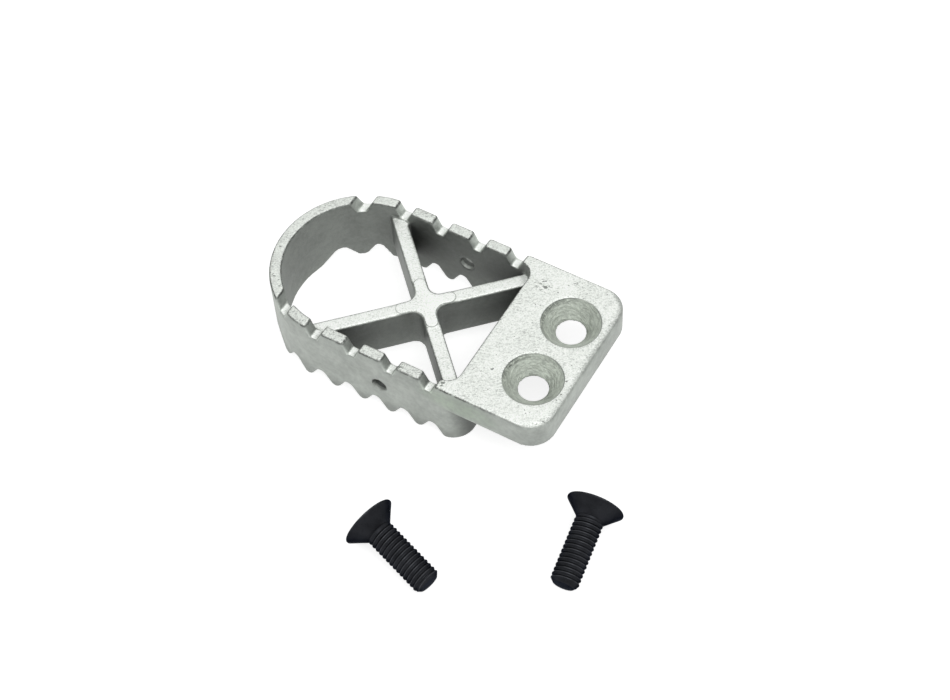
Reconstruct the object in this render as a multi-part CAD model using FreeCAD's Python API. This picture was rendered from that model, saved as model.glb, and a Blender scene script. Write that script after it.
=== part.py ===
import FreeCAD, Part
import math
import os
from FreeCAD import Vector

# Rear brake pedal step plate with its two countersunk screws.
# Millimetres. +X points from the rounded nose to the bolted end, +Z points up out of the tread.
# The origin is midway between the two bolt holes, on the face that the lever's end seats against.

# Plan view of the casting
pad_width = 38.9
wall = 2.65
bolt_line_to_end = 8.2
bolt_line_to_opening = 13.5
bolt_line_to_nose_centre = 46.1
plate_corner_radius = 5.5
opening_corner_radius = 3.0
cross_wall = 2.85
cross_wall_corner_radius = 5.0

# Heights of the casting
web_thickness = 3.6
plate_height = 6.5
wall_height = 17.4

# Teeth along the top edge of the wall, as the gaps between them
tooth_pitch = 9.15
gap_mouth = 4.1
gap_floor = 1.45
gap_depth = 2.8
gap_edge_radius = 0.5
gap_root_radius = 0.55
gap_count = 5
bolt_line_to_gap = 18.45

# Scallops along the bottom edge of the wall
scallop_pitch = 6.87
scallop_depth = 3.35
scallop_tip_radius = 1.3
scallop_root_radius = 1.1
scallop_count = 7
bolt_line_to_scallop = 18.0

# X brace inside the wall
brace_width = 3.15
brace_drop = 3.2
brace_height = 10.3
brace_fillet = 2.4

# Raised pad that the ground-off casting gate leaves on the middle of the brace
gate_width = 2.6
gate_reach = 6.5
gate_rise = 0.2
gate_fillet = 2.5

# Small hole in each side wall
side_hole_diameter = 3.4
side_hole_drop = 8.8

# Countersunk bolt holes
bolt_spacing = 16.0
bolt_hole_diameter = 6.25
countersink_diameter = 12.9
countersink_angle = 90.0

# Broken edges along the top and bottom of the wall
tread_edge_break = 0.35
foot_edge_break = 0.4
inner_edge_break = 0.2

# Countersunk screws
screw_diameter = 6.0
screw_length = 18.0
screw_head_diameter = 12.0
screw_head_rim = 0.35
screw_head_angle = 90.0
screw_point_chamfer = 0.8
socket_width = 4.0
socket_depth = 2.3

# Where the two loose screws lie: the middle of the head in plan, and the heading of the point in degrees
screw_1_x = -16.2
screw_1_y = -47.0
screw_1_heading = -16.4
screw_2_x = 21.95
screw_2_y = -22.0
screw_2_heading = -83.0

# Values that follow from the sizes above
half_width = pad_width / 2.0
inner_half_width = half_width - wall
tread_z = web_thickness
plate_under_z = tread_z - plate_height
foot_z = tread_z - wall_height
opening_x = -bolt_line_to_opening
nose_x = -bolt_line_to_nose_centre
cross_wall_x = opening_x + cross_wall
hub_x = opening_x - inner_half_width
brace_top_z = tread_z - brace_drop

# Modelling allowances: how far a cutting shape runs past what it cuts, and how near two points are one
overrun = 2.0
same_place = 1e-5


def in_plan(x, y):
    """A point of an outline seen from above."""
    return Vector(x, y, 0)


def in_side_view(x, z):
    """A point of an outline seen from the near side."""
    return Vector(x, -half_width - overrun, z)


def in_brace_plan(along, across):
    """A plan point on axes that follow the two bars of the brace."""
    turn = math.radians(45)
    x = along * math.cos(turn) - across * math.sin(turn)
    y = along * math.sin(turn) + across * math.cos(turn)
    return Vector(hub_x + x, y, 0)


def rounded_face(corners, place):
    """A flat face with a tangent arc at each corner, from a list of (u, v, radius)."""
    spots = [place(u, v) for u, v, radius in corners]
    edges = []
    joins = []
    for i, (u, v, radius) in enumerate(corners):
        corner = spots[i]
        back = (spots[i - 1] - corner).normalize()
        ahead = (spots[(i + 1) % len(spots)] - corner).normalize()
        half_angle = back.getAngle(ahead) / 2.0
        reach = radius / math.tan(half_angle)
        start = corner + back * reach
        stop = corner + ahead * reach
        if radius > 0:
            bisector = (back + ahead).normalize()
            middle = corner + bisector * (radius / math.sin(half_angle) - radius)
            edges.append(Part.Arc(start, middle, stop).toShape())
        joins.append((start, stop))
    for i, (start, stop) in enumerate(joins):
        last_stop = joins[i - 1][1]
        if last_stop.distanceToPoint(start) > same_place:
            edges.append(Part.makeLine(last_stop, start))
    return Part.Face(Part.Wire(Part.__sortEdges__(edges)))


def prism(face, low, high):
    """A plan face made solid between two heights."""
    solid = face.extrude(Vector(0, 0, high - low))
    solid.translate(Vector(0, 0, low))
    return solid


def d_outline(end_x, half, end_radius):
    """A D seen from above: a half-round nose, straight sides and two rounded corners."""
    return rounded_face([
        (end_x, -half, end_radius),
        (end_x, half, end_radius),
        (nose_x - half, half, half),
        (nose_x - half, -half, half),
    ], in_plan)


def cross_outline(width, reach, fillet, end_radius):
    """A cross along the two bars of the brace, with a fillet in each inner corner."""
    half = width / 2.0
    quarter = [(half, half, fillet), (half, reach, end_radius), (-half, reach, end_radius)]
    corners = []
    for turn in range(4):
        for u, v, radius in quarter:
            for step in range(turn):
                u, v = -v, u
            corners.append((u, v, radius))
    return rounded_face(corners, in_brace_plan)


def tooth_gap_corners(centre):
    """One gap between two teeth, from left to right."""
    floor_z = tread_z - gap_depth
    return [
        (centre - gap_mouth / 2.0, tread_z, gap_edge_radius),
        (centre - gap_floor / 2.0, floor_z, gap_root_radius),
        (centre + gap_floor / 2.0, floor_z, gap_root_radius),
        (centre + gap_mouth / 2.0, tread_z, gap_edge_radius),
    ]


def scallop_corners(centre):
    """One scallop, from right to left; its flanks are tangent to the tips beside it."""
    half_pitch = scallop_pitch / 2.0
    radii = scallop_tip_radius + scallop_root_radius
    rise = scallop_depth - radii
    slope = math.atan2(rise, half_pitch) + math.asin(radii / math.hypot(half_pitch, rise))
    half_mouth = half_pitch - scallop_tip_radius * math.tan(slope / 2.0)
    apex_z = foot_z + half_mouth * math.tan(slope)
    return [
        (centre + half_mouth, foot_z, scallop_tip_radius),
        (centre, apex_z, scallop_root_radius),
        (centre - half_mouth, foot_z, scallop_tip_radius),
    ]


def side_outline():
    """The wall's side view, with the tooth gaps along the top and the scallops below."""
    left = nose_x - half_width - overrun
    right = bolt_line_to_end + overrun
    corners = [(left, foot_z, 0), (left, tread_z, 0)]
    for i in reversed(range(gap_count)):
        corners += tooth_gap_corners(-bolt_line_to_gap - i * tooth_pitch)
    corners += [(right, tread_z, 0), (right, foot_z, 0)]
    for i in range(scallop_count):
        corners += scallop_corners(-bolt_line_to_scallop - i * scallop_pitch)
    return rounded_face(corners, in_side_view)


def make_casting_body():
    """The wall and the mounting plate, with teeth, scallops, opening and lever recess."""
    wall_block = prism(d_outline(cross_wall_x, half_width, cross_wall_corner_radius), foot_z, tread_z)
    plate_block = prism(d_outline(bolt_line_to_end, half_width, plate_corner_radius), plate_under_z, tread_z)
    profile = side_outline().extrude(Vector(0, pad_width + 2 * overrun, 0))
    body = wall_block.fuse(plate_block).common(profile)
    opening_outline = d_outline(opening_x, inner_half_width, opening_corner_radius)
    opening = prism(opening_outline, foot_z - overrun, tread_z + overrun)
    recess_x = bolt_line_to_end - wall
    recess_radius = plate_corner_radius - wall
    recess = rounded_face([
        (cross_wall_x, -inner_half_width, 0),
        (recess_x, -inner_half_width, recess_radius),
        (recess_x, inner_half_width, recess_radius),
        (cross_wall_x, inner_half_width, 0),
    ], in_plan)
    return body.cut(opening).cut(prism(recess, plate_under_z - overrun, 0)).removeSplitter()


def straight_rim(solid, x, z):
    """The rim's straight edge across the casting; a chamfer runs on from it along the whole rim."""
    for edge in solid.Edges:
        ends = [edge.valueAt(edge.FirstParameter), edge.valueAt(edge.LastParameter)]
        if all(math.hypot(end.x - x, end.z - z) < same_place for end in ends):
            return edge


def break_rims(body):
    """The casting with the tread's outer and inner rims and the foot's outer rim chamfered."""
    rims = [
        (bolt_line_to_end, tread_z, tread_edge_break),
        (opening_x, tread_z, inner_edge_break),
        (cross_wall_x, foot_z, foot_edge_break),
    ]
    for x, z, edge_break in rims:
        body = body.makeChamfer(edge_break, [straight_rim(body, x, z)])
    return body


def make_brace():
    """The X brace, run into the middle of the wall, with the raised gate pad on it."""
    reach = pad_width
    bottom_z = brace_top_z - brace_height
    bars = prism(cross_outline(brace_width, reach, brace_fillet, 0), bottom_z, brace_top_z)
    wall_middle = d_outline(
        opening_x + cross_wall / 2.0,
        half_width - wall / 2.0,
        opening_corner_radius + wall / 2.0,
    )
    bars = bars.common(prism(wall_middle, foot_z, tread_z))
    pad_outline = cross_outline(gate_width, gate_reach, gate_fillet, gate_width / 2.0)
    pad = prism(pad_outline, bottom_z + brace_height / 2.0, brace_top_z + gate_rise)
    return bars.fuse(pad)


def make_bolt_hole(y):
    """The space of one bolt hole with its countersink."""
    hole_radius = bolt_hole_diameter / 2.0
    mouth_radius = countersink_diameter / 2.0
    depth = (mouth_radius - hole_radius) / math.tan(math.radians(countersink_angle / 2.0))
    hole = Part.makeCylinder(hole_radius, plate_height + overrun, Vector(0, y, plate_under_z))
    cone = Part.makeCone(hole_radius, mouth_radius, depth, Vector(0, y, tread_z - depth))
    return hole.fuse(cone)


def make_side_hole(outward):
    """The space of the small hole in one side wall; outward is 1 on the far side, -1 on the near."""
    start = Vector(hub_x, outward * (inner_half_width - wall / 2.0), tread_z - side_hole_drop)
    return Part.makeCylinder(side_hole_diameter / 2.0, 2 * wall, start, Vector(0, outward, 0))


def make_pedal_tip():
    """The whole casting."""
    casting = break_rims(make_casting_body()).fuse(make_brace()).removeSplitter()
    for y in (-bolt_spacing / 2.0, bolt_spacing / 2.0):
        casting = casting.cut(make_bolt_hole(y))
    for outward in (-1, 1):
        casting = casting.cut(make_side_hole(outward))
    return casting


def make_screw():
    """A countersunk screw with its head's face at the origin and its point along +X."""
    head_radius = screw_head_diameter / 2.0
    shank_radius = screw_diameter / 2.0
    point_radius = shank_radius - screw_point_chamfer
    cone = (head_radius - shank_radius) / math.tan(math.radians(screw_head_angle / 2.0))
    profile = Part.makePolygon([
        Vector(0, 0, 0),
        Vector(0, 0, head_radius),
        Vector(screw_head_rim, 0, head_radius),
        Vector(screw_head_rim + cone, 0, shank_radius),
        Vector(screw_length - screw_point_chamfer, 0, shank_radius),
        Vector(screw_length, 0, point_radius),
        Vector(screw_length, 0, 0),
        Vector(0, 0, 0),
    ])
    solid = Part.Face(profile).revolve(Vector(0, 0, 0), Vector(1, 0, 0), 360)
    corner_radius = socket_width / 2.0 / math.cos(math.radians(30))
    hexagon = []
    for i in range(7):
        turn = math.radians(60 * i)
        hexagon.append(Vector(0, corner_radius * math.cos(turn), corner_radius * math.sin(turn)))
    socket = Part.Face(Part.makePolygon(hexagon)).extrude(Vector(socket_depth, 0, 0))
    return solid.cut(socket)


def lay_down(screw, x, y, heading):
    """A screw lying on its head's rim and on the last of its thread, level with the wall's foot."""
    head_radius = screw_head_diameter / 2.0
    drop = head_radius - screw_diameter / 2.0
    run = screw_length - screw_point_chamfer - screw_head_rim
    tilt = math.atan2(drop, run)
    lift = head_radius * math.cos(tilt) + screw_head_rim * math.sin(tilt)
    lying = screw.copy()
    lying.rotate(Vector(0, 0, 0), Vector(0, 1, 0), math.degrees(tilt))
    lying.rotate(Vector(0, 0, 0), Vector(0, 0, 1), heading)
    lying.translate(Vector(x, y, foot_z + lift))
    return lying


os.makedirs("parts", exist_ok=True)
make_pedal_tip().exportStep("parts/pedal_tip.step")
lay_down(make_screw(), screw_1_x, screw_1_y, screw_1_heading).exportStep("parts/plate_screw_1.step")
lay_down(make_screw(), screw_2_x, screw_2_y, screw_2_heading).exportStep("parts/plate_screw_2.step")
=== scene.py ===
"""Studio picture of a rear brake pedal's cast step plate, with its two countersunk screws beside it."""

import logging
import math
from collections.abc import Callable
from dataclasses import dataclass
from enum import Enum
from functools import partial, reduce

import bmesh
import bpy
from bpy.types import Material, Mesh, Node, NodeTree, Object, World
from bpy.types import NodeOutputs as Outputs, NodeSocket as Socket
from mathutils import Matrix, Vector


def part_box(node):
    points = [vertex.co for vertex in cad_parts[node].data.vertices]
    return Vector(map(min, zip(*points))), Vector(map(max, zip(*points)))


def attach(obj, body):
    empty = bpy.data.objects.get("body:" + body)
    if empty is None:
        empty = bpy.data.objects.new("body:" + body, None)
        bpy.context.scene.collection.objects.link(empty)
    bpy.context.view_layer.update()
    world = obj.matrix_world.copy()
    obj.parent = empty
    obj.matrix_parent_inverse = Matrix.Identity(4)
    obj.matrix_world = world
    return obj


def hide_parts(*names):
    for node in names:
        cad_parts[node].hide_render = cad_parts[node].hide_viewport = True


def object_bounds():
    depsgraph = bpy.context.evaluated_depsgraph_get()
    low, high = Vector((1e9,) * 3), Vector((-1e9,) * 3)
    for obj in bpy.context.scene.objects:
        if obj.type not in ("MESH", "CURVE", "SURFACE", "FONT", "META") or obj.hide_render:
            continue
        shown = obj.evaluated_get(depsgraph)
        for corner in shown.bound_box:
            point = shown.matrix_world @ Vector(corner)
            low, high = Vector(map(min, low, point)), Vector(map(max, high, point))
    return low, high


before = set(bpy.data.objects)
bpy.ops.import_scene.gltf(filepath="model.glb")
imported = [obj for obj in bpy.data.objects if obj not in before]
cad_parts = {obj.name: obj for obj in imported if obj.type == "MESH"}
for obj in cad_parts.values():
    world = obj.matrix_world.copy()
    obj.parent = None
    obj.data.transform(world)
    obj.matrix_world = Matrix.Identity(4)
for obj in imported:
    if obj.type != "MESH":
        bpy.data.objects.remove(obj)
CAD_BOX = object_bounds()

Pair = tuple[float, float]
Triple = tuple[float, float, float]
Step = tuple[float, float, float, float]

log = logging.getLogger("pedal")

ROOT_BODY = "root"
# Attribute for the screws' lighter mark: partly wear, partly painted highlight.
WEAR_AND_HIGHLIGHT_ATTRIBUTE = "crest"
MILLIMETRE = 0.001
SAME_PLACE = 1e-7
WELD_REACH = 1e-6
NOISE_MIDDLE = 0.5
CORE_SHARE = 0.3
HEXAGON_STEP = math.pi / 3.0
WHITE: Triple = (1.0, 1.0, 1.0)
SOCKET_KINDS = {float: "NodeSocketFloat", int: "NodeSocketInt", Material: "NodeSocketMaterial"}


class Ray(Enum):
    """The kinds of ray that see a plain background in place of the lit one."""

    CAMERA = "Is Camera Ray"
    GLOSSY = "Is Glossy Ray"
    TRANSMISSION = "Is Transmission Ray"


class Blend(Enum):
    """How one colour is laid over another."""

    MIX = "MIX"
    MULTIPLY = "MULTIPLY"


@dataclass
class NodeBench:
    """A node tree under construction, for a shader or for geometry.

    Args:
        tree: the node tree that new nodes go into.
    """

    tree: NodeTree

    def wire(self, node: Node, inputs: dict[str | int, object]) -> None:
        """Links or sets a node's inputs.

        Args:
            node: the node.
            inputs: an output, a number, a vector or a colour for each input, by the input's name or number.
        """
        for key, value in inputs.items():
            socket = node.inputs[key]
            if isinstance(value, Socket):
                self.tree.links.new(value, socket)
            else:
                socket.default_value = (*value, 1.0) if socket.type == "RGBA" else value

    def add(self, kind: str, inputs: dict[str | int, object] | None = None, **settings: object) -> Node:
        """Adds a node.

        Args:
            kind: Blender's name for the node type.
            inputs: what goes into its inputs, as in wire.
            settings: properties of the node, by name.

        Returns:
            The new node.
        """
        node = self.tree.nodes.new(kind)
        for name, value in settings.items():
            setattr(node, name, value)
        self.wire(node, inputs or {})
        return node

    def math(self, operation: str, *values: object) -> Socket:
        """The result of a Math node for outputs or numbers."""
        return self.add("ShaderNodeMath", dict(enumerate(values)), operation=operation).outputs[0]

    def vector_math(self, operation: str, *values: object, output: str = "Vector") -> Socket:
        """The named result of a Vector Math node for outputs or vectors."""
        return self.add("ShaderNodeVectorMath", dict(enumerate(values)), operation=operation).outputs[output]

    def times(self, *values: object) -> Socket:
        """The product of several values."""
        return reduce(partial(self.math, "MULTIPLY"), values)

    def plus(self, *values: object) -> Socket:
        """The sum of several values."""
        return reduce(partial(self.math, "ADD"), values)

    def greatest(self, *values: object) -> Socket:
        """The largest of several values."""
        return reduce(partial(self.math, "MAXIMUM"), values)

    def least(self, *values: object) -> Socket:
        """The smallest of several values."""
        return reduce(partial(self.math, "MINIMUM"), values)

    def minus(self, value: object, loss: object) -> Socket:
        """A value less another."""
        return self.math("SUBTRACT", value, loss)

    def rest_of(self, share: Socket) -> Socket:
        """What a share leaves of 1."""
        return self.minus(1.0, share)

    def unsigned(self, value: Socket) -> Socket:
        """A number without its sign."""
        return self.math("ABSOLUTE", value)

    def below(self, value: object, limit: object) -> Socket:
        """1 where a value is under a limit, and 0 elsewhere."""
        return self.math("LESS_THAN", value, limit)

    def hypotenuse(self, first: Socket, second: Socket) -> Socket:
        """The distance that two steps at right angles make."""
        return self.math("SQRT", self.plus(self.math("POWER", first, 2.0), self.math("POWER", second, 2.0)))

    def ramp(self, value: Socket, low: float, high: float, start: float = 0.0, stop: float = 1.0) -> Socket:
        """A smooth step of a value: the start up to the low mark, and the stop from the high mark on."""
        inputs = {"Value": value, "From Min": low, "From Max": high, "To Min": start, "To Max": stop}
        return self.add("ShaderNodeMapRange", inputs, interpolation_type="SMOOTHSTEP").outputs["Result"]

    def near(self, distance: Socket, reach: float) -> Socket:
        """1 where a distance is small, fading to 0 at its reach."""
        return self.ramp(distance, reach, reach * CORE_SHARE)

    def pick(self, factor: Socket, first: object, second: object) -> Socket:
        """A number between two others: the first where the factor is 0, and the second where it is 1."""
        inputs = {"Factor": factor, "A": first, "B": second}
        return self.add("ShaderNodeMix", inputs, data_type="FLOAT").outputs["Result"]

    def toned(self, tone: Socket, mask: Socket, change: object) -> Socket:
        """A tone multiplied by a change as far as a mask reaches."""
        return self.times(tone, self.pick(mask, 1.0, change))

    def colour_mix(self, blend: Blend, factor: object, under: Socket, over: object) -> Socket:
        """A colour with another laid over it, as far as a factor from 0 to 1 says."""
        inputs = {"Factor": factor, "A": under, "B": over}
        return self.add("ShaderNodeMix", inputs, data_type="RGBA", blend_type=blend.value).outputs["Result"]

    def split(self, vector: Socket) -> tuple[Socket, ...]:
        """A vector's X, Y and Z."""
        return tuple(self.add("ShaderNodeSeparateXYZ", {0: vector}).outputs)

    def grey(self, value: Socket) -> Socket:
        """A number as a grey colour."""
        return self.add("ShaderNodeCombineColor", dict.fromkeys(range(3), value)).outputs[0]

    def stretch(self, place: Socket, turn: float, scale: Triple = (1.0, 1.0, 1.0)) -> Socket:
        """Coordinates turned about the upright axis, then stretched.

        Args:
            place: the coordinates to read.
            turn: the turn in degrees.
            scale: the factor along each turned axis.

        Returns:
            The new coordinates.
        """
        rotation = (0.0, 0.0, math.radians(turn))
        turned = self.add("ShaderNodeMapping", {"Vector": place, "Rotation": rotation}, vector_type="TEXTURE")
        inputs = {"Vector": turned.outputs[0], "Scale": scale}
        return self.add("ShaderNodeMapping", inputs, vector_type="POINT").outputs[0]


def cleared_bench(owner: Material | World) -> NodeBench:
    """A bench on the emptied node tree of a material or a world.

    Args:
        owner: the material or world.

    Returns:
        The bench.
    """
    owner.use_nodes = True
    owner.node_tree.nodes.clear()
    return NodeBench(owner.node_tree)


def shader_bench(name: str) -> tuple[Material, NodeBench, Node]:
    """Starts a material with a Principled shader and an output.

    Args:
        name: the material's name.

    Returns:
        The material, its bench and its Principled node.
    """
    material = bpy.data.materials.new(name)
    bench = cleared_bench(material)
    shader = bench.add("ShaderNodeBsdfPrincipled")
    bench.add("ShaderNodeOutputMaterial", {"Surface": shader.outputs[0]})
    return material, bench, shader


@dataclass(frozen=True)
class Pattern:
    """A noise in a finish, with its largest lumps as wide as its size in metres.

    Where it has a squeeze, it is turned by degrees about the upright axis and then stretched.
    """

    size: float
    detail: float
    roughness: float = 0.5
    turn: float = 0.0
    squeeze: Triple | None = None

    def on(self, bench: NodeBench, place: Socket) -> Socket:
        """Lays the noise on a piece.

        Args:
            bench: the material's bench.
            place: the coordinates to read, in metres.

        Returns:
            The noise, from 0 to 1 about its middle.
        """
        if self.squeeze:
            place = bench.stretch(place, self.turn, self.squeeze)
        inputs = {"Vector": place, "Scale": 1.0 / self.size, "Detail": self.detail, "Roughness": self.roughness}
        return bench.add("ShaderNodeTexNoise", inputs).outputs[0]


@dataclass(frozen=True)
class Blemish:
    """A round patch of the tread where the pits lie thick. Lengths are in metres."""

    x: float
    y: float
    radius: float


@dataclass(frozen=True)
class BlastedCasting:
    """Bead-blasted stainless casting, with ground faces where the normal points up, painted far lighter than the
    blasted sides so that tops read as lit from above and sides as shaded.

    Lengths are in metres. A pair is where a change begins and ends, and a step also has the values before and
    after it. Changes named for x, y, z or turn follow the place or how far up the surface faces.
    """

    # Painted light and shade: the near-white ground colour on up-facing faces and the much darker skin colour
    # stand for light from above as well as for the two finishes.
    shaded_skin_colour: Triple = (0.47, 0.50, 0.465)
    ground_lit_colour: Triple = (0.93, 0.97, 0.915)
    pit_colour: Triple = (0.13, 0.145, 0.13)
    cone_tint: Triple = (0.985, 1.0, 0.955)
    metallic: float = 0.6
    roughness: Step = (0.0, 1.0, 0.55, 0.48)
    roughness_mottle: Step = (0.3, 0.7, -0.05, 0.05)
    samples: int = 8

    clouds: Pattern = Pattern(0.006, 3.0)
    mottle: Pattern = Pattern(0.0011, 4.0, 0.6)
    grain: Pattern = Pattern(0.00032, 3.0, 0.6)
    dashes: Pattern = Pattern(0.00029, 2.0, 0.7, 33.0, (0.5, 1.0, 1.0))
    ripple: Pattern = Pattern(0.0008, 3.0, 0.65, 0.0, (0.6, 0.6, 2.4))
    streaks: Pattern = Pattern(0.0018, 3.0, 0.6, 0.0, (0.12, 1.0, 1.0))
    burrs: Pattern = Pattern(0.0005, 3.0)
    cloud_tones: Step = (0.3, 0.7, 0.89, 1.045)
    mottle_tones: Step = (0.3, 0.7, -0.11, 0.11)
    streak_tones: Step = (0.3, 0.7, 0.97, 1.02)

    edge_radius_x: Step = (0.0020, 0.0060, 0.0009, 0.0030)
    edge_turn: Pair = (0.985, 0.90)
    flat_turn: Pair = (0.70, 0.86)
    ground_turn: Pair = (0.80, 0.95)
    ground_ragged: float = 0.30

    # Painted shade in recesses from local ambient occlusion, darker still on the inner faces near corners.
    recess_reach: float = 0.045
    recess_shade: float = 0.18
    recess_gain: float = 1.12
    nose_x: float = -0.0461
    inner_face: Pair = (0.0160, 0.0166)
    inner_face_recess: Pair = (0.15, 0.45)
    inner_face_shade: float = 0.68
    outer_face: Pair = (0.0185, 0.0190)
    foot_z: Pair = (-0.0085, -0.0140)
    foot_tone: float = 0.66
    plate_under_z: float = -0.0031
    shaded_x: Pair = (-0.0146, -0.0092)
    shaded_tone: float = 0.22

    gap_z: Pair = (0.0007, 0.0030)
    gap_turn: Pair = (0.70, 0.93)
    flank_turn: Pair = (0.15, 0.35)
    # Painted light on the tooth flanks, lighter towards the far row and towards the gap floor.
    flank_lights_y: Step = (-0.010, 0.010, 1.25, 1.65)
    flank_lights_z: Step = (0.0010, 0.0030, 1.24, 0.95)

    wear_z: Step = (0.0030, 0.0033, 0.35, 1.0)
    # Painted light: ground faces below the tread, such as the gap floors, are lighter.
    low_face_light_z: Step = (0.0030, 0.0033, 1.14, 1.0)
    brace_tones_z: Step = (0.00045, 0.00055, 0.96, 1.05)
    tread_tones_x: Step = (-0.021, -0.013, 0.91, 1.03)
    shine_clouds: Step = (0.3, 0.7, 0.96, 1.02)
    speckle_tones: Step = (0.38, 0.58, 0.86, 1.06)
    dash_marks: Pair = (0.52, 0.35)
    dash_clouds: Step = (0.35, 0.65, 1.0, 0.35)
    dash_tones_x: Step = (-0.021, -0.013, 0.58, 0.66)
    low_dash_share: float = 0.4
    rim_dash_marks: Pair = (0.55, 0.42)
    rim_dash_tone: float = 0.52

    # Painted shade on the tread's rounded rims, darker towards -x, and along the ragged burr.
    rim_turn: Pair = (0.30, 0.62)
    rim_shades_x: Step = (-0.010, 0.000, 0.45, 0.85)
    rim_mottle: Pair = (0.35, 0.65)
    rim_mottle_tone: float = 0.9
    burr_turn: Pair = (0.48, 0.62)
    burr_z: Pair = (0.0026, 0.0030)
    burr_marks: Pair = (0.40, 0.52)
    burr_clouds: Step = (0.38, 0.52, 0.45, 1.0)
    burr_shares_x: Step = (-0.010, 0.000, 1.0, 0.2)
    burr_shade: float = 0.30

    pit_spacing: float = 0.00062
    pit_warp: float = 0.00055
    pit_radius: float = 0.46
    pit_rarity: float = 1.5
    pit_wobble: Pattern = Pattern(0.00032, 1.0)
    pit_ragged: float = 0.44
    pit_patches: Pattern = Pattern(0.006, 2.0)
    pit_patch_shares: Step = (0.42, 0.72, 0.28, 0.75)
    pit_rim_share: float = 0.6
    pit_blemish_share: float = 1.5
    pit_edge: Pair = (-0.02, 0.08)
    pit_strength: float = 0.8
    cluster_marks: Pair = (0.47, 0.37)

    hub_x: float = -0.0303
    brace_turn: float = 45.0
    gate_half_width: float = 0.0013
    gate_reach: float = 0.0065
    gate_fillet: float = 0.0025
    gate_z: float = 0.0005
    gate_band: float = 0.0004
    line_width: float = 0.00014
    line_clouds: Step = (0.35, 0.60, 0.25, 0.75)

    bolt_y: float = 0.008
    seat_z: float = 0.0002
    countersink_radius: float = 0.00645
    cone_tones: Step = (0.38, 0.62, 1.056, 1.32)

    side_wall_y: float = 0.0163
    side_hole_z: float = -0.0052
    side_hole_radius: float = 0.0018
    side_hole_middle: float = 0.0181
    # Painted light near the side holes' mouths and painted shade deeper in the bore.
    side_hole_mouth: Pair = (0.0003, 0.0007)
    side_hole_turn: Pair = (0.1, 0.5)
    side_hole_light_and_shade: Pair = (0.36, 1.05)

    stain_middle: Triple = (-0.0110, -0.0195, 0.0003)
    stain_reach: Triple = (0.0120, 0.0030, 0.0042)
    stain_mottle: Step = (0.3, 0.6, 0.6, 1.0)
    stain_tint: Triple = (0.93, 0.995, 0.91)
    blemishes: tuple[Blemish, ...] = (
        Blemish(-0.0098, 0.0137, 0.0026),
        Blemish(-0.0040, 0.0175, 0.0009),
        Blemish(-0.0165, -0.0182, 0.0030),
        Blemish(0.0080, -0.0172, 0.0035),
        Blemish(-0.0250, -0.0186, 0.0022),
    )

    grain_relief: float = 0.5
    pit_relief: float = 1.2
    ripple_relief: float = 13.5
    bump_strength: float = 0.7
    bump_height: float = 0.00006

    def material(self) -> Material:
        """Builds the casting's material."""
        material, bench, shader = shader_bench("blasted_casting")
        CastingSkin(self, bench.tree).dress(shader)
        return material


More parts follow.
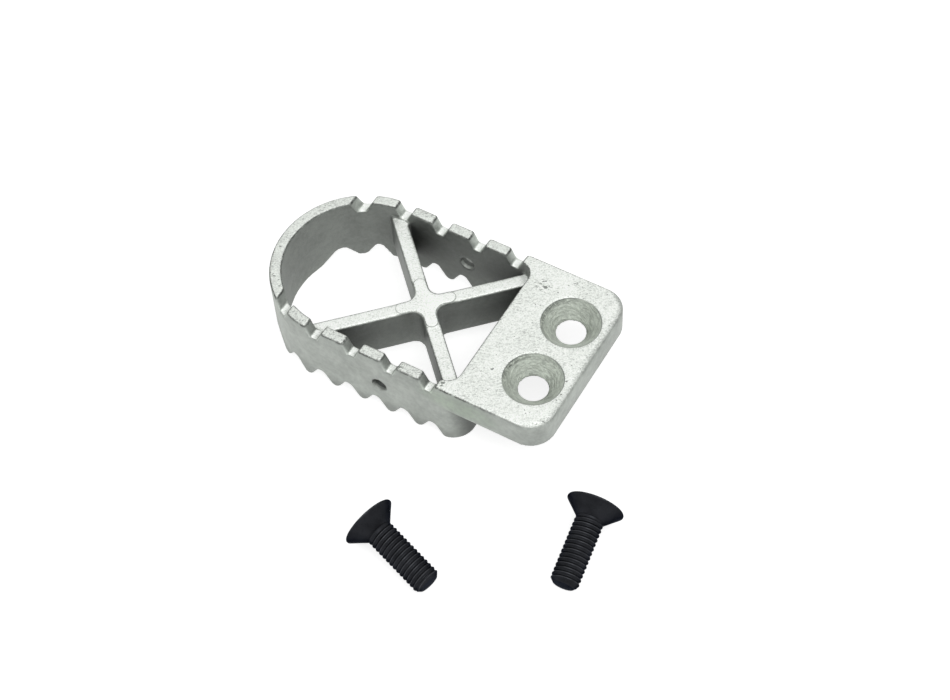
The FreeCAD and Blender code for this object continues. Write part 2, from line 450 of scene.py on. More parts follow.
class CastingSkin(NodeBench):
    """The bench of the casting's material: what it reads at a point, and the masks that come of it.

    A mask is 1 on what it is named for and 0 elsewhere.
    """

    def __init__(self, finish: BlastedCasting, tree: NodeTree) -> None:
        """Reads the place, the patterns and the normals, and finds the regions.

        Args:
            finish: the finish's numbers.
            tree: the material's node tree.
        """
        super().__init__(tree)
        self.finish = finish
        read = self.add("ShaderNodeTexCoord").outputs
        self.place = read["Object"]
        self.x, self.y, self.z = self.split(self.place)
        patterns = (finish.clouds, finish.mottle, finish.grain, finish.dashes, finish.ripple)
        laid = [pattern.on(self, self.place) for pattern in patterns]
        self.clouds, self.mottle, self.grain, self.dashes, self.ripple = laid

        self.facing_z = self.split(read["Normal"])[2]
        edge_radius = self.ramp(self.x, *finish.edge_radius_x)
        self.rounded = self.add("ShaderNodeBevel", {"Radius": edge_radius}, samples=finish.samples).outputs[0]
        own_axes = {"vector_type": "NORMAL", "convert_from": "WORLD", "convert_to": "OBJECT"}
        own_rounded = self.add("ShaderNodeVectorTransform", {0: self.rounded}, **own_axes).outputs[0]
        self.rounded_z = self.split(own_rounded)[2]
        alike = self.vector_math("DOT_PRODUCT", own_rounded, read["Normal"], output="Value")
        self.rim = self.ramp(alike, *finish.edge_turn)
        # Local ambient occlusion, read for the painted shade in recesses.
        reach = {"Distance": finish.recess_reach}
        around = self.add("ShaderNodeAmbientOcclusion", reach, samples=finish.samples, only_local=True)
        self.hemmed = self.rest_of(around.outputs["AO"])

        self.on_tread = self.ramp(self.z, *finish.wear_z)
        self.from_middle = self.hypotenuse(self.least(self.minus(self.x, finish.nose_x), 0.0), self.y)
        self.from_bolt = self.hypotenuse(self.x, self.minus(self.unsigned(self.y), finish.bolt_y))
        in_plan = self.below(self.from_bolt, finish.countersink_radius)
        self.in_cone = self.times(in_plan, self.below(finish.seat_z, self.z))
        floor, top = finish.gap_z
        self.in_gap = self.times(self.below(floor, self.z), self.below(self.z, top), self.rest_of(self.in_cone))
        self.in_side_hole = self.side_hole()
        self.blemished = self.thickly_pitted()

    def side_hole(self) -> Socket:
        """The wall of the small side holes.

        Returns:
            The mask.
        """
        size = self.finish
        from_axis = self.hypotenuse(self.minus(self.x, size.hub_x), self.minus(self.z, size.side_hole_z))
        in_wall = self.below(size.side_wall_y, self.unsigned(self.y))
        return self.times(self.below(from_axis, size.side_hole_radius), in_wall)

    def thickly_pitted(self) -> Socket:
        """The blemishes.

        Returns:
            The mask, fading to 0 at their borders.
        """
        level = self.vector_math("MULTIPLY", self.place, (1.0, 1.0, 0.0))
        patches = []
        for blemish in self.finish.blemishes:
            away = self.vector_math("DISTANCE", level, (blemish.x, blemish.y, 0.0), output="Value")
            patches.append(self.near(away, blemish.radius))
        return self.greatest(*patches)

    def thin_line(self, distance: Socket) -> Socket:
        """A thin line where a distance is nothing."""
        return self.near(self.unsigned(distance), self.finish.line_width)

    def gate_line(self) -> Socket:
        """The thin line round the raised pad in the middle of the brace.

        Returns:
            The mask.
        """
        size = self.finish
        centred = self.vector_math("SUBTRACT", self.place, (size.hub_x, 0.0, 0.0))
        folded = self.vector_math("ABSOLUTE", self.stretch(centred, size.brace_turn))
        first, second, _ = self.split(folded)
        along, across = self.greatest(first, second), self.least(first, second)
        middle = size.gate_half_width + size.gate_fillet
        end = size.gate_reach - size.gate_half_width

        def from_circle(x: float, y: float, radius: float) -> Socket:
            """The distance outside a circle."""
            return self.minus(self.hypotenuse(self.minus(along, x), self.minus(across, y)), radius)

        corner = from_circle(middle, middle, size.gate_fillet)
        side = self.minus(across, size.gate_half_width)
        tip = from_circle(end, 0.0, size.gate_half_width)
        outer = self.pick(self.below(end, along), side, tip)
        edge = self.pick(self.below(along, middle), outer, corner)
        here = self.below(self.unsigned(self.minus(self.z, size.gate_z)), size.gate_band)
        return self.times(self.thin_line(edge), here)

    def pits(self) -> Socket:
        """Short dark marks that lie scattered, with more of them near edges and in the blemishes.

        Returns:
            The mask.
        """
        size = self.finish
        spacing = {"Scale": 1.0 / size.pit_spacing}
        swirl = self.add("ShaderNodeTexNoise", {"Vector": self.place, **spacing}).outputs["Color"]
        aside = self.vector_math("MULTIPLY_ADD", swirl, (size.pit_warp,) * 3, (-size.pit_warp / 2.0,) * 3)
        warped = self.vector_math("ADD", self.stretch(self.place, size.dashes.turn, size.dashes.squeeze), aside)
        cells = self.add("ShaderNodeTexVoronoi", {"Vector": warped, **spacing}, feature="F1").outputs
        chance = self.add("ShaderNodeSeparateColor", {0: cells["Color"]}).outputs["Red"]
        crowd = self.greatest(
            self.ramp(size.pit_patches.on(self, self.place), *size.pit_patch_shares),
            self.times(self.rim, size.pit_rim_share),
            self.times(self.blemished, size.pit_blemish_share),
        )
        radius = self.times(size.pit_radius, self.math("POWER", chance, size.pit_rarity), crowd)
        wobble = self.minus(size.pit_wobble.on(self, self.place), NOISE_MIDDLE)
        ragged = self.plus(cells["Distance"], self.times(wobble, size.pit_ragged))
        return self.ramp(self.minus(radius, ragged), *size.pit_edge)

    def ground_and_lit_share(self) -> Socket:
        """Where the casting is ground bright, on up-facing faces, which also paints them lighter than the sides as
        light from above.

        Returns:
            The mask.
        """
        size = self.finish
        ragged = self.times(self.minus(self.grain, NOISE_MIDDLE), size.ground_ragged)
        level = self.ramp(self.plus(self.rounded_z, ragged), *size.ground_turn)
        flat = self.times(self.ramp(self.facing_z, *size.flat_turn), level)
        ground = self.pick(self.in_gap, flat, self.ramp(self.rounded_z, *size.gap_turn))
        return self.times(ground, self.rest_of(self.in_side_hole))

    def hollow_shade_and_cone_tone(self) -> Socket:
        """Painted shade in hemmed-in places, darker still on inner faces near corners, with the countersinks' own
        tone and the side holes on their own.

        Returns:
            The tone.
        """
        size = self.finish
        recess_shaded = self.pick(self.least(self.times(self.hemmed, size.recess_gain), 1.0), 1.0, size.recess_shade)
        in_corner = self.ramp(self.hemmed, *size.inner_face_recess)
        by_wall = self.times(self.ramp(self.from_middle, *size.inner_face), in_corner)
        recess_shaded = self.toned(recess_shaded, by_wall, size.inner_face_shade)
        cone = self.ramp(self.ripple, *size.cone_tones)
        # Painted light near the side holes' mouths on up-facing parts, painted shade deeper in the bore.
        from_mouth = self.unsigned(self.minus(self.unsigned(self.y), size.side_hole_middle))
        upturned = self.ramp(self.facing_z, *size.side_hole_turn)
        lit = self.times(self.ramp(from_mouth, *size.side_hole_mouth), upturned)
        bore_light_and_shade = self.pick(lit, *size.side_hole_light_and_shade)
        return self.pick(self.in_side_hole, self.pick(self.in_cone, recess_shaded, cone), bore_light_and_shade)

    def shaded_edges(self, tone: Socket) -> Socket:
        """Lays painted shade on the tread's rounded rims, darker towards -x, and a thin line of painted shade
        along the ragged burr, on the skin's tone.

        Args:
            tone: the tone so far.

        Returns:
            The tone with its edges.
        """
        size = self.finish
        # Painted shade on the rounded rims.
        painted_edge_share = self.times(self.ramp(self.rounded_z, *size.rim_turn), self.rest_of(self.in_cone), self.on_tread)
        by_place = self.ramp(self.x, *size.rim_shades_x)
        rim_shade = self.pick(self.ramp(self.mottle, *size.rim_mottle), by_place, size.rim_mottle_tone)
        burr = self.times(
            self.ramp(self.rounded_z, *size.burr_turn),
            self.ramp(self.rounded_z, *size.edge_turn),
            self.ramp(self.z, *size.burr_z),
            self.ramp(size.burrs.on(self, self.place), *size.burr_marks),
            self.ramp(self.clouds, *size.burr_clouds),
            self.ramp(self.x, *size.burr_shares_x),
        )
        return self.toned(self.toned(tone, painted_edge_share, rim_shade), burr, size.burr_shade)

    def shaded_skin_colour(self) -> Socket:
        """The blasted skin's colour, with painted shade in recesses, under the plate and on the rounded rims,
        painted light on the tooth flanks and at the side holes' mouths, and the outer face darker towards its
        foot.

        Returns:
            The colour.
        """
        size = self.finish
        tone = self.plus(self.ramp(self.clouds, *size.cloud_tones), self.ramp(self.mottle, *size.mottle_tones))
        streaks = self.ramp(size.streaks.on(self, self.place), *size.streak_tones)
        tone = self.times(tone, streaks, self.hollow_shade_and_cone_tone())
        under_plate = self.times(self.below(self.z, size.plate_under_z), self.ramp(self.x, *size.shaded_x))
        tone = self.toned(tone, under_plate, size.shaded_tone)
        # The outer face is darker towards its foot.
        foot = self.times(self.ramp(self.from_middle, *size.outer_face), self.ramp(self.z, *size.foot_z))
        tone = self.toned(tone, foot, size.foot_tone)
        # Painted light on the tooth flanks, lighter towards the far row and towards the gap floor.
        flank = self.times(self.in_gap, self.ramp(self.facing_z, *size.flank_turn))
        flank_light = self.times(self.ramp(self.y, *size.flank_lights_y), self.ramp(self.z, *size.flank_lights_z))
        tone = self.shaded_edges(self.toned(tone, flank, flank_light))

        skin = self.colour_mix(Blend.MULTIPLY, 1.0, self.grey(tone), size.shaded_skin_colour)
        skin = self.colour_mix(Blend.MULTIPLY, self.in_cone, skin, size.cone_tint)
        from_stain = self.vector_math("SUBTRACT", self.place, size.stain_middle)
        in_reaches = self.vector_math("DIVIDE", from_stain, size.stain_reach)
        stained = self.near(self.vector_math("LENGTH", in_reaches, output="Value"), 1.0)
        stained = self.times(stained, self.ramp(self.mottle, *size.stain_mottle))
        return self.colour_mix(Blend.MULTIPLY, stained, skin, size.stain_tint)

    def bright_colour(self, pits: Socket) -> Socket:
        """The ground faces' colour, with short dark dashes, a fine speckle and pits, and painted light on ground
        faces below the tread.

        Args:
            pits: the mask of the pits.

        Returns:
            The colour.
        """
        size = self.finish
        lasting = self.times(
            self.pick(self.on_tread, size.low_dash_share, 1.0), self.ramp(self.clouds, *size.dash_clouds)
        )
        dash_tone = self.pick(lasting, 1.0, self.ramp(self.x, *size.dash_tones_x))
        dashed = self.pick(self.ramp(self.dashes, *size.dash_marks), 1.0, dash_tone)
        edged = self.times(self.rim, self.on_tread, self.ramp(self.dashes, *size.rim_dash_marks))
        brace_tone = self.ramp(self.z, *size.brace_tones_z)
        shine = self.times(
            self.toned(dashed, edged, size.rim_dash_tone),
            self.ramp(self.grain, *size.speckle_tones),
            self.ramp(self.clouds, *size.shine_clouds),
            # Painted light below the tread.
            self.ramp(self.z, *size.low_face_light_z),
            self.pick(self.on_tread, brace_tone, self.ramp(self.x, *size.tread_tones_x)),
        )
        bright = self.colour_mix(Blend.MULTIPLY, 1.0, self.grey(shine), size.ground_lit_colour)
        return self.colour_mix(Blend.MIX, pits, bright, size.pit_colour)

    def dress(self, shader: Node) -> None:
        """Gives the shader its colour, roughness, metal and relief.

        Args:
            shader: the material's Principled node.
        """
        size = self.finish
        clustered = self.times(self.blemished, self.ramp(self.dashes, *size.cluster_marks))
        pits = self.times(self.greatest(self.pits(), clustered), self.on_tread, size.pit_strength)
        ground = self.ground_and_lit_share()
        from_mouth = self.minus(self.from_bolt, size.countersink_radius - size.line_width)
        lines = self.greatest(self.times(self.thin_line(from_mouth), self.in_cone), self.gate_line())
        lines = self.times(lines, self.ramp(self.clouds, *size.line_clouds))
        colour = self.colour_mix(Blend.MIX, ground, self.shaded_skin_colour(), self.bright_colour(pits))
        relief = self.minus(self.times(self.grain, size.grain_relief), self.times(pits, ground, size.pit_relief))
        relief = self.plus(relief, self.times(self.in_cone, self.ripple, size.ripple_relief))
        bump = {"Strength": size.bump_strength, "Distance": size.bump_height, "Height": relief}
        self.wire(shader, {
            "Base Color": self.colour_mix(Blend.MIX, lines, colour, size.pit_colour),
            "Metallic": size.metallic,
            "Roughness": self.plus(
                self.ramp(ground, *size.roughness), self.ramp(self.mottle, *size.roughness_mottle)
            ),
            "Normal": self.add("ShaderNodeBump", {**bump, "Normal": self.rounded}).outputs["Normal"],
        })


@dataclass(frozen=True)
class BlackOxide:
    """Black oxide on alloy steel, lighter along sharp crests, the head's rim and the point's end: partly wear and
    partly painted highlight.

    Lengths are in metres, and steps are as in the casting's finish.
    """

    colour: Triple = (0.020, 0.021, 0.024)
    # Lighter colour on crests, rim and point: partly wear, partly painted highlight.
    wear_and_highlight_colour: Triple = (0.075, 0.078, 0.085)
    edge_tint: Triple = (0.35, 0.36, 0.38)
    metallic: float = 1.0
    clouds: Pattern = Pattern(0.003, 3.0)
    wear_and_highlight: Pattern = Pattern(0.0016, 2.0)
    grain: Pattern = Pattern(0.00022, 3.0, 0.6)
    cloud_tones: Step = (0.3, 0.7, 0.8, 1.2)
    grain_tones: Step = (0.3, 0.7, -0.15, 0.15)
    lightening_shares: Step = (0.3, 0.6, 0.35, 1.0)
    roughness: Step = (0.3, 0.7, 0.36, 0.50)
    bump_strength: float = 0.35
    bump_height: float = 0.00003

    def material(self) -> Material:
        """Builds the screws' material.

        Returns:
            The material.
        """
        material, bench, shader = shader_bench("black_oxide")
        place = bench.add("ShaderNodeTexCoord").outputs["Object"]
        grain = self.grain.on(bench, place)
        crest = bench.add("ShaderNodeAttribute", attribute_name=WEAR_AND_HIGHLIGHT_ATTRIBUTE).outputs["Fac"]
        # The lighter mark: partly wear, partly painted highlight.
        painted_edge_share = bench.times(crest, bench.ramp(self.wear_and_highlight.on(bench, place), *self.lightening_shares))
        clouds = bench.ramp(self.clouds.on(bench, place), *self.cloud_tones)
        tone = bench.plus(clouds, bench.ramp(grain, *self.grain_tones))
        base = bench.colour_mix(Blend.MULTIPLY, 1.0, bench.grey(tone), self.colour)
        bump = {"Strength": self.bump_strength, "Distance": self.bump_height, "Height": grain}
        bench.wire(shader, {
            "Base Color": bench.colour_mix(Blend.MIX, painted_edge_share, base, self.wear_and_highlight_colour),
            "Metallic": self.metallic,
            "Specular Tint": self.edge_tint,
            "Roughness": bench.ramp(grain, *self.roughness),
            "Normal": bench.add("ShaderNodeBump", bump).outputs["Normal"],
        })
        return material


def link(obj: Object) -> Object:
    """Puts an object in the scene and returns it."""
    bpy.context.scene.collection.objects.link(obj)
    return obj


def object_of(editable: bmesh.types.BMesh, name: str) -> Object:
    """Makes an object in the scene of an editable mesh, which is freed.

    Args:
        editable: the finished editable mesh.
        name: the object's name.

    Returns:
        The object.
    """
    mesh = bpy.data.meshes.new(name)
    editable.to_mesh(mesh)
    editable.free()
    return link(bpy.data.objects.new(name, mesh))


def applied(obj: Object, name: str) -> Object:
    """A plain mesh object made from an object as its modifiers leave it; the first object is removed.

    Args:
        obj: the object with modifiers.
        name: the new object's name.

    Returns:
        The plain object, in the scene.
    """
    bpy.context.view_layer.update()
    evaluated = obj.evaluated_get(bpy.context.evaluated_depsgraph_get())
    mesh = bpy.data.meshes.new_from_object(evaluated)
    bpy.data.objects.remove(obj)
    mesh.name = name
    return link(bpy.data.objects.new(name, mesh))


def triangle_count(mesh: Mesh) -> int:
    """The number of triangles that a mesh's faces make."""
    return sum(len(polygon.vertices) - 2 for polygon in mesh.polygons)


def report(obj: Object) -> None:
    """Logs a finished piece's name, triangles and size."""
    size = obj.dimensions / MILLIMETRE
    log.info("%s: %d triangles, %.1f x %.1f x %.1f mm", obj.name, triangle_count(obj.data), *size)


def hand_over(obj: Object, node: str) -> None:
    """Lets a finished piece stand for its solid.

    Args:
        obj: the finished piece.
        node: the solid's name.
    """
    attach(obj, ROOT_BODY)
    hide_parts(node)
    report(obj)


def grow(obj: Object, name: str, shape: Callable[[NodeBench, Outputs], Socket], values: dict[str, object]) -> None:
    """Gives an object a node modifier, with a tree that has an input for each value.

    The tree ends by making instances real and setting the material.

    Args:
        obj: the object.
        name: the name of the tree and the modifier.
        shape: lays out the tree on a bench from what the tree is given, and returns the finished shape.
        values: the value of each input, by the input's name.
    """
    tree = bpy.data.node_groups.new(name, "GeometryNodeTree")
    add_socket = tree.interface.new_socket
    add_socket(name="Geometry", in_out="INPUT", socket_type="NodeSocketGeometry")
    inputs = [add_socket(name=label, in_out="INPUT", socket_type=SOCKET_KINDS[type(value)])
              for label, value in values.items()]
    add_socket(name="Geometry", in_out="OUTPUT", socket_type="NodeSocketGeometry")
    bench = NodeBench(tree)
    given = bench.add("NodeGroupInput").outputs
    realised = bench.add("GeometryNodeRealizeInstances", {0: shape(bench, given)})
    painted = bench.add("GeometryNodeSetMaterial", {0: realised.outputs[0], "Material": given["Material"]})
    bench.add("NodeGroupOutput", {0: painted.outputs[0]})
    modifier = obj.modifiers.new(name, "NODES")
    modifier.node_group = tree
    for socket, value in zip(inputs, values.values()):
        modifier[socket.identifier] = value


@dataclass
class StepCasting:
    """The cast step plate: the solid's own form, with the softened edges and the relief of a casting.

    Lengths are in metres.
    """

    finish: BlastedCasting
    node: str = "pedal_tip"
    voxel: float = 0.00022
    smooth_factor: float = 0.5
    smooth_rounds: int = 2
    wave_height: float = 0.00005
    wave_size: float = 0.0022
    peel_height: float = 0.000022
    peel_size: float = 0.0007
    seed: float = 3.0
    triangle_limit: int = 185000

    def relief(self, bench: NodeBench, given: Outputs) -> Socket:
        """Raises and lowers the skin along its normals.

        Args:
            bench: the tree's bench.
            given: what the tree is given.

        Returns:
            The shape.
        """
        position = bench.add("GeometryNodeInputPosition").outputs[0]
        normal = bench.add("GeometryNodeInputNormal").outputs[0]

        def swell(name: str) -> Socket:
            """A noise as a height about zero.

            Args:
                name: what the noise's inputs are named for.

            Returns:
                The height.
            """
            scale = bench.math("DIVIDE", 1.0, given[f"{name} Size"])
            inputs = {"Vector": position, "W": given["Seed"], "Scale": scale, "Detail": 1.0}
            noise = bench.add("ShaderNodeTexNoise", inputs, noise_dimensions="4D").outputs[0]
            return bench.times(bench.minus(noise, NOISE_MIDDLE), given[f"{name} Height"])

        lift = bench.plus(swell("Wave"), swell("Peel"))
        shift = bench.add("ShaderNodeVectorMath", {0: normal, "Scale": lift}, operation="SCALE").outputs[0]
        moved = {"Geometry": given["Geometry"], "Offset": shift}
        return bench.add("GeometryNodeSetPosition", moved).outputs[0]

    def merged_copy(self) -> Object:
        """A copy of the solid's mesh with its loose triangles joined.

        Returns:
            The copy, in the scene.
        """
        editable = bmesh.new()
        editable.from_mesh(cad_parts[self.node].data)
        bmesh.ops.remove_doubles(editable, verts=editable.verts, dist=SAME_PLACE)
        return object_of(editable, "casting_blank")

    def build(self) -> None:
        """Builds, dresses and hands over the casting."""
        blank = self.merged_copy()
        remesh = blank.modifiers.new("skin", "REMESH")
        remesh.mode = "VOXEL"
        remesh.voxel_size = self.voxel
        smooth = blank.modifiers.new("soften", "SMOOTH")
        smooth.factor = self.smooth_factor
        smooth.iterations = self.smooth_rounds
        grow(blank, "cast_skin_relief", self.relief, {
            "Wave Height": self.wave_height,
            "Wave Size": self.wave_size,
            "Peel Height": self.peel_height,
            "Peel Size": self.peel_size,
            "Seed": self.seed,
            "Material": self.finish.material(),
        })
        dense = applied(blank, "casting_dense")
        thin = dense.modifiers.new("thin", "DECIMATE")
        thin.ratio = min(1.0, self.triangle_limit / triangle_count(dense.data))
        casting = applied(dense, "step_plate_casting")
        casting.data.shade_smooth()
        hand_over(casting, self.node)


@dataclass
class CountersunkScrew:
    """A hexagon socket countersunk screw with a rolled thread, lying on its head's rim.

    Lengths are in metres and angles in degrees. The rim's profile has, for each ring, its distance from the
    head's face and its inset, both as shares of half the rim's height. The point's profile has its rise as a
    share of the dome, and its share of the point's radius.
    """

    node: str
    head_x: float
    head_y: float
    heading: float
    thread_turn: float
    diameter: float = 0.006
    pitch: float = 0.001
    thread_depth: float = 0.00026
    thread_flank: Pair = (0.02, 0.98)
    crest_span: Pair = (0.80, 0.97)
    length: float = 0.018
    head_diameter: float = 0.012
    head_rim: float = 0.00035
    rim_profile: tuple[Pair, ...] = ((0.0, 1.6), (0.35, 0.6), (1.1, 0.1), (2.2, 0.15), (3.2, 1.0))
    face_share: float = 0.7
    cone_share: float = 0.55
    point_chamfer: float = 0.0008
    point_dome: float = 0.00006
    point_profile: tuple[Pair, ...] = ((0.0, 1.0), (0.5, 0.9), (0.9, 0.5))
    point_painted_light: float = 0.22
    rim_highlight: float = 0.6
    socket_width: float = 0.004
    socket_depth: float = 0.0023
    socket_mouth: float = 1.04
    drill_tip: float = 1.15
    neck_inset: float = 0.00008
    segments: int = 72
    rows_per_pitch: int = 12
    sharp_angle: float = 50.0

    @property
    def neck(self) -> float:
        """How far from the head's face the cone ends and the thread begins."""
        return self.head_rim + (self.head_diameter - self.diameter) / 2.0

    @property
    def neck_radius(self) -> float:
        """The radius where the head meets the thread."""
        return self.diameter / 2.0 - self.neck_inset

    def ring(self, editable: bmesh.types.BMesh, along: float, radius: float, hexagon: bool = False) -> list:
        """A ring of vertices about the screw's axis.

        Args:
            editable: the mesh that is being built.
            along: the distance from the head's face.
            radius: the ring's radius, or half the width across flats.
            hexagon: whether the ring is a hexagon.

        Returns:
            The ring's vertices in order.
        """
        ring = []
        for step in range(self.segments):
            angle = math.tau * step / self.segments
            reach = radius
            if hexagon:
                reach /= math.cos((angle + HEXAGON_STEP / 2.0) % HEXAGON_STEP - HEXAGON_STEP / 2.0)
            ring.append(editable.verts.new((along, reach * math.cos(angle), reach * math.sin(angle))))
        return ring

    def shell(self, editable: bmesh.types.BMesh, rings: list[list], closed: list, tip: float) -> None:
        """Joins neighbouring rings with quads and closes one ring with a fan.

        Args:
            editable: the mesh that is being built.
            rings: the rings in order.
            closed: the ring to close.
            tip: how far from the head's face the fan's middle lies.
        """
        steps = [(step, (step + 1) % self.segments) for step in range(self.segments)]
        for first, second in zip(rings, rings[1:]):
            for here, after in steps:
                editable.faces.new((first[here], first[after], second[after], second[here]))
        centre = editable.verts.new((tip, 0.0, 0.0))
        for here, after in steps:
            editable.faces.new((centre, closed[here], closed[after]))

    def head_and_point(self) -> Object:
        """The head with its socket, and the flat end of the point, as two open shells in one mesh.

        Returns:
            The object, in the scene.
        """
        editable = bmesh.new()
        wear_and_highlight = editable.verts.layers.float.new(WEAR_AND_HIGHLIGHT_ATTRIBUTE)
        head_radius = self.head_diameter / 2.0
        flat = self.socket_width / 2.0
        soft = self.head_rim / 2.0
        cone = self.neck * self.cone_share
        socket = [self.ring(editable, along, flat, hexagon=True)
                  for along in (self.socket_depth, self.socket_depth / 2.0, soft)]
        face = [self.ring(editable, 0.0, flat / math.cos(HEXAGON_STEP / 2.0) * self.socket_mouth),
                self.ring(editable, 0.0, head_radius * self.face_share)]
        rim = [self.ring(editable, soft * along, head_radius - soft * inset) for along, inset in self.rim_profile]
        under = [self.ring(editable, cone, head_radius - (cone - self.head_rim)),
                 self.ring(editable, self.neck - self.neck_inset, self.diameter / 2.0 + self.neck_inset),
                 self.ring(editable, self.neck, self.neck_radius)]
        self.shell(editable, socket + face + rim + under, socket[0], self.socket_depth * self.drill_tip)
        # Painted highlight along the head's rim.
        for vertex in rim[1] + rim[2]:
            vertex[wear_and_highlight] = self.rim_highlight

        point_radius = self.diameter / 2.0 - self.point_chamfer
        point = [self.ring(editable, self.length + self.point_dome * rise, point_radius * share)
                 for rise, share in self.point_profile]
        self.shell(editable, point, point[-1], self.length + self.point_dome)
        # Painted light on the point's domed end.
        for vertex in editable.verts:
            if vertex.co.x > self.length - self.point_dome:
                vertex[wear_and_highlight] = self.point_painted_light
        return object_of(editable, self.node + "_ends")

    def thread(self, bench: NodeBench, given: Outputs) -> Socket:
        """Winds a grid into a rolled thread and welds it to the head and the point.

        Args:
            bench: the tree's bench.
            given: what the tree is given.

        Returns:
            The shape.
        """
        counts = {"Vertices X": given["Columns"], "Vertices Y": given["Rows"]}
        grid = bench.add("GeometryNodeMeshGrid", {"Size X": 1.0, "Size Y": 1.0, **counts})
        spot_x, spot_y, _ = bench.split(bench.add("GeometryNodeInputPosition").outputs[0])
        around, down = bench.plus(spot_x, 0.5), bench.plus(spot_y, 0.5)

        run = bench.minus(given["Length"], given["Neck"])
        wound = bench.times(down, given["Wound Length"])
        free = bench.plus(wound, bench.times(bench.minus(around, 1.0), given["Pitch"]))
        held = bench.least(bench.greatest(free, 0.0), run)
        phase = bench.math("FRACT", bench.math("DIVIDE", wound, given["Pitch"]))
        from_root = bench.unsigned(bench.minus(bench.times(phase, 2.0), 1.0))
        ridge = bench.ramp(from_root, *self.thread_flank)
        faded = bench.least(bench.math("DIVIDE", held, given["Pitch"]), 1.0)
        groove = bench.times(bench.rest_of(ridge), faded, given["Depth"])
        outer = bench.times(given["Diameter"], 0.5)
        neck_loss = bench.times(bench.rest_of(faded), bench.minus(outer, given["Neck Radius"]))
        threaded = bench.minus(bench.minus(outer, groove), neck_loss)
        chamfer = bench.plus(bench.minus(outer, given["Point Chamfer"]), bench.minus(run, held))
        radius = bench.least(threaded, chamfer)

        angle = bench.times(around, math.tau)
        wrapped = bench.add("ShaderNodeCombineXYZ", {
            "X": bench.plus(held, given["Neck"]),
            "Y": bench.times(radius, bench.math("COSINE", angle)),
            "Z": bench.times(radius, bench.math("SINE", angle)),
        })
        # The thread's crests get the lighter mark: partly wear, partly painted highlight.
        crest = bench.times(bench.ramp(from_root, *self.crest_span), faded)
        mark = {"Geometry": grid.outputs["Mesh"], "Name": WEAR_AND_HIGHLIGHT_ATTRIBUTE, "Value": crest}
        marked = bench.add("GeometryNodeStoreNamedAttribute", mark, data_type="FLOAT", domain="POINT")
        bent = {"Geometry": marked.outputs[0], "Position": wrapped.outputs[0]}
        thread = bench.add("GeometryNodeSetPosition", bent)
        joined = bench.add("GeometryNodeJoinGeometry", {0: given["Geometry"]})
        bench.wire(joined, {0: thread.outputs[0]})
        weld = {"Geometry": joined.outputs[0], "Distance": WELD_REACH}
        return bench.add("GeometryNodeMergeByDistance", weld).outputs[0]

    def lying(self) -> Matrix:
        """The screw's place: on its head's rim and on the last of its thread.

        Returns:
            The place.
        """
        head_radius = self.head_diameter / 2.0
        drop = head_radius - self.diameter / 2.0
        run = self.length - self.point_chamfer - self.head_rim
        tilt = math.atan2(drop, run)
        lift = head_radius * math.cos(tilt) + self.head_rim * math.sin(tilt)
        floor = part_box(self.node)[0].z
        place = Matrix.Translation((self.head_x, self.head_y, floor + lift))
        return (
            place
            @ Matrix.Rotation(math.radians(self.heading), 4, "Z")
            @ Matrix.Rotation(tilt, 4, "Y")
            @ Matrix.Rotation(math.radians(self.thread_turn), 4, "X")
        )

    def build(self, material: Material) -> None:
        """Builds, dresses and hands over the screw.

        Args:
            material: the finished material.
        """
        ends = self.head_and_point()
        rows = math.ceil(((self.length - self.neck) / self.pitch + 1.0) * self.rows_per_pitch)
        grow(ends, "rolled_thread", self.thread, {
            "Diameter": self.diameter,
            "Pitch": self.pitch,
            "Depth": self.thread_depth,
            "Neck": self.neck,
            "Neck Radius": self.neck_radius,
            "Length": self.length,
            "Point Chamfer": self.point_chamfer,
            "Wound Length": rows * self.pitch / self.rows_per_pitch,
            "Columns": self.segments + 1,
            "Rows": rows + 1,
            "Material": material,
        })
        screw = applied(ends, self.node + "_dressed")
        tidy_shell(screw.data)
        screw.data.transform(self.lying())
        screw.data.shade_smooth()
        screw.data.set_sharp_from_angle(angle=math.radians(self.sharp_angle))
        hand_over(screw, self.node)


def tidy_shell(mesh: Mesh) -> None:
    """Removes faces that a weld has folded to nothing and turns the rest outwards.

    Args:
        mesh: the mesh to mend.
    """
    editable = bmesh.new()
    editable.from_mesh(mesh)
    bmesh.ops.dissolve_degenerate(editable, dist=SAME_PLACE, edges=editable.edges)
    bmesh.ops.recalc_face_normals(editable, faces=editable.faces)
    editable.to_mesh(mesh)
    editable.free()


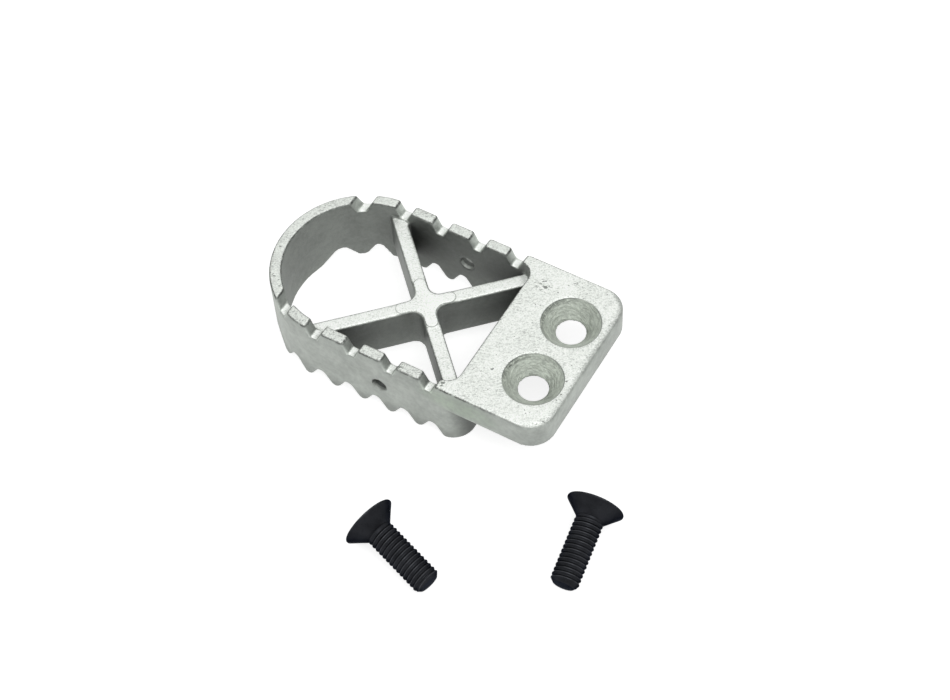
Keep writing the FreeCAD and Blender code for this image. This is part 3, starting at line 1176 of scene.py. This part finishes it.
@dataclass
class Studio:
    """A pale floor, a plain white surround, a soft lamp and the camera.

    Lengths are in metres, angles in degrees and power in watts.
    """

    floor_half: float = 4.0
    floor_drop: float = 0.00003
    floor_colour: Triple = (0.65, 0.65, 0.65)
    floor_shine_through: float = 0.76
    surround_level: float = 0.42
    key_size: float = 0.55
    key_place: Triple = (0.28, -0.22, 0.70)
    key_power: float = 2.2
    aim: Triple = (-0.02, -0.01, 0.0)
    azimuth: float = 33.225
    elevation: float = 54.469
    roll: float = -3.8
    lens: float = 78.0
    sensor: float = 36.0
    camera_place: Triple = (0.11985, -0.21165, 0.34544)
    clip: Pair = (0.01, 20.0)

    def plain_view(self, bench: NodeBench) -> Socket:
        """1 for the rays that see a plain background, and 0 for the rest."""
        path = bench.add("ShaderNodeLightPath").outputs
        return bench.greatest(*(path[ray.value] for ray in Ray))

    def surround(self) -> None:
        """The world: a level grey that lights the object, and white to camera, gloss and glass."""
        world = bpy.data.worlds.new("studio_surround")
        bpy.context.scene.world = world
        bench = cleared_bench(world)
        strength = bench.ramp(self.plain_view(bench), 0.0, 1.0, self.surround_level, 1.0)
        background = bench.add("ShaderNodeBackground", {"Color": WHITE, "Strength": strength})
        bench.add("ShaderNodeOutputWorld", {"Surface": background.outputs[0]})

    def floor_finish(self) -> Material:
        """The floor's material: white to the camera apart from the part's shadow, and open from below.

        Returns:
            The material.
        """
        material = bpy.data.materials.new("studio_floor")
        bench = cleared_bench(material)
        matte = bench.add("ShaderNodeBsdfDiffuse", {"Color": self.floor_colour})
        strength = bench.times(self.plain_view(bench), self.floor_shine_through)
        glow = bench.add("ShaderNodeEmission", {"Color": WHITE, "Strength": strength})
        both = bench.add("ShaderNodeAddShader", {0: matte.outputs[0], 1: glow.outputs[0]})
        clear = bench.add("ShaderNodeBsdfTransparent")
        below = bench.add("ShaderNodeNewGeometry").outputs["Backfacing"]
        one_sided = bench.add("ShaderNodeMixShader", {0: below, 1: both.outputs[0], 2: clear.outputs[0]})
        bench.add("ShaderNodeOutputMaterial", {"Surface": one_sided.outputs[0]})
        return material

    def floor(self) -> None:
        """The floor under the part."""
        editable = bmesh.new()
        bmesh.ops.create_grid(editable, x_segments=1, y_segments=1, size=self.floor_half)
        floor = object_of(editable, "studio_floor")
        floor.data.transform(Matrix.Translation((0.0, 0.0, CAD_BOX[0].z - self.floor_drop)))
        floor.data.materials.append(self.floor_finish())

    def key_lamp(self) -> None:
        """The square soft lamp, aimed at the part."""
        light = bpy.data.lights.new("key_lamp", "AREA")
        light.shape = "SQUARE"
        light.size = self.key_size
        light.energy = self.key_power
        lamp = link(bpy.data.objects.new("key_lamp", light))
        lamp.location = self.key_place
        direction = Vector(self.aim) - Vector(self.key_place)
        lamp.rotation_euler = direction.to_track_quat("-Z", "Y").to_euler()

    def camera(self) -> None:
        """The camera, turned by its azimuth, elevation and roll."""
        turn = math.radians(self.azimuth)
        rise = math.radians(self.elevation)
        tip = math.radians(self.roll)
        back = Vector((math.sin(turn) * math.cos(rise), -math.cos(turn) * math.cos(rise), math.sin(rise)))
        level_right = Vector((math.cos(turn), math.sin(turn), 0.0))
        level_up = back.cross(level_right)
        right = level_right * math.cos(tip) + level_up * math.sin(tip)
        up = level_up * math.cos(tip) - level_right * math.sin(tip)
        data = bpy.data.cameras.new("camera")
        data.lens = self.lens
        data.sensor_width = self.sensor
        data.sensor_fit = "HORIZONTAL"
        data.clip_start, data.clip_end = self.clip
        camera = link(bpy.data.objects.new("camera", data))
        axes = Matrix((right, up, back)).transposed().to_4x4()
        camera.matrix_world = Matrix.Translation(self.camera_place) @ axes
        bpy.context.scene.camera = camera

    def build(self) -> None:
        """Builds the whole studio."""
        bpy.context.scene.view_settings.view_transform = "Standard"
        self.surround()
        self.floor()
        self.key_lamp()
        self.camera()
        log.info("studio: floor, surround, lamp and camera")


def main() -> None:
    """Builds the studio, the casting and the two screws."""
    logging.basicConfig(level=logging.INFO, format="%(name)s: %(message)s")
    Studio().build()
    StepCasting(BlastedCasting()).build()
    black = BlackOxide().material()
    CountersunkScrew("plate_screw_1", -0.0162, -0.047, -16.4, 40.0).build(black)
    CountersunkScrew("plate_screw_2", 0.02195, -0.022, -83.0, 155.0).build(black)


if __name__ == "__main__":
    main()
